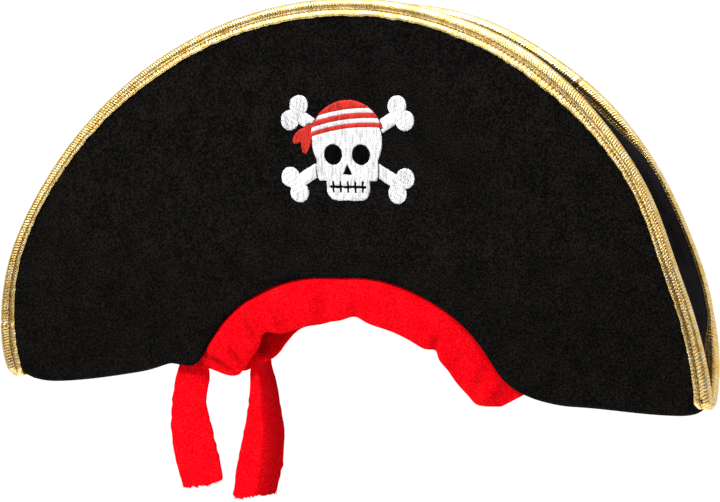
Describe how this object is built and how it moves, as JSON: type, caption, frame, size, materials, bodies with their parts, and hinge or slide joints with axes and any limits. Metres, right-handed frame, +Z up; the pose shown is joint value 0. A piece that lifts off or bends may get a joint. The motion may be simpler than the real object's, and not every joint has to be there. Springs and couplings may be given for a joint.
{
  "type": "pirate hat",
  "caption": "Costume pirate hat: a round black brim folded into two upright halves with gold edge binding, a red headband with two hanging tails and a skull and crossbones emblem.",
  "frame": {"origin": "middle of the head opening, at the height of the fold that the two halves turn about", "axes": "+X towards the wearer's left tip (right as seen from the front), -Y towards the front, +Z up"},
  "size_m": [0.5, 0.0518, 0.321],
  "materials": {
    "black_velour": "matt black velour with a short pile",
    "foam_board": "plain foam, hidden inside",
    "lining": "dark grey woven lining",
    "gold_lame": "crinkled gold lame with a metallic shine",
    "filler_cord": "soft cotton filler cord, hidden inside",
    "red_velour": "saturated red velour",
    "crown_cloth": "dark grey woven cloth",
    "white_thread": "white satin-stitch embroidery",
    "red_thread": "red satin-stitch embroidery",
    "black_thread": "black embroidery thread"
  },
  "bodies": {
    "fold_seam": {"crown_gusset": "crown_cloth", "left_wing_seam": "lining", "right_wing_seam": "lining", "left_tip_tuck": "gold_lame", "right_tip_tuck": "gold_lame", "side_tie": "red_velour"},
    "front_half": {"front_cover": "black_velour", "front_foam": "foam_board", "front_lining": "lining", "front_binding": "gold_lame", "front_edge_cord": "filler_cord", "front_headband": "red_velour", "front_crown": "crown_cloth", "emblem_bones": "white_thread", "emblem_skull": "white_thread", "emblem_scarf": "red_thread", "emblem_features": "black_thread"},
    "back_half": {"back_cover": "black_velour", "back_foam": "foam_board", "back_lining": "lining", "back_binding": "gold_lame", "back_edge_cord": "filler_cord", "back_headband": "red_velour", "back_crown": "crown_cloth"},
    "left_tail": {"left_tail": "red_velour"},
    "right_tail": {"right_tail": "red_velour"}
  },
  "joints": [
    {"name": "front_fold", "type": "hinge", "parent": "fold_seam", "child": "front_half", "pos_m": [0, 0, 0], "axis": [1, 0, 0], "range_deg": [-3, 20], "stiffness_Nm_per_rad": 1.5},
    {"name": "back_fold", "type": "hinge", "parent": "fold_seam", "child": "back_half", "pos_m": [0, 0, 0], "axis": [-1, 0, 0], "range_deg": [-3, 20], "stiffness_Nm_per_rad": 1.5},
    {"name": "left_tail_swing", "type": "hinge", "parent": "fold_seam", "child": "left_tail", "pos_m": [-0.107, 0, 0.009], "axis": [1, 0, 0], "range_deg": [-40, 40]},
    {"name": "right_tail_swing", "type": "hinge", "parent": "fold_seam", "child": "right_tail", "pos_m": [-0.062, 0, 0.013], "axis": [1, 0, 0], "range_deg": [-40, 40]}
  ]
}
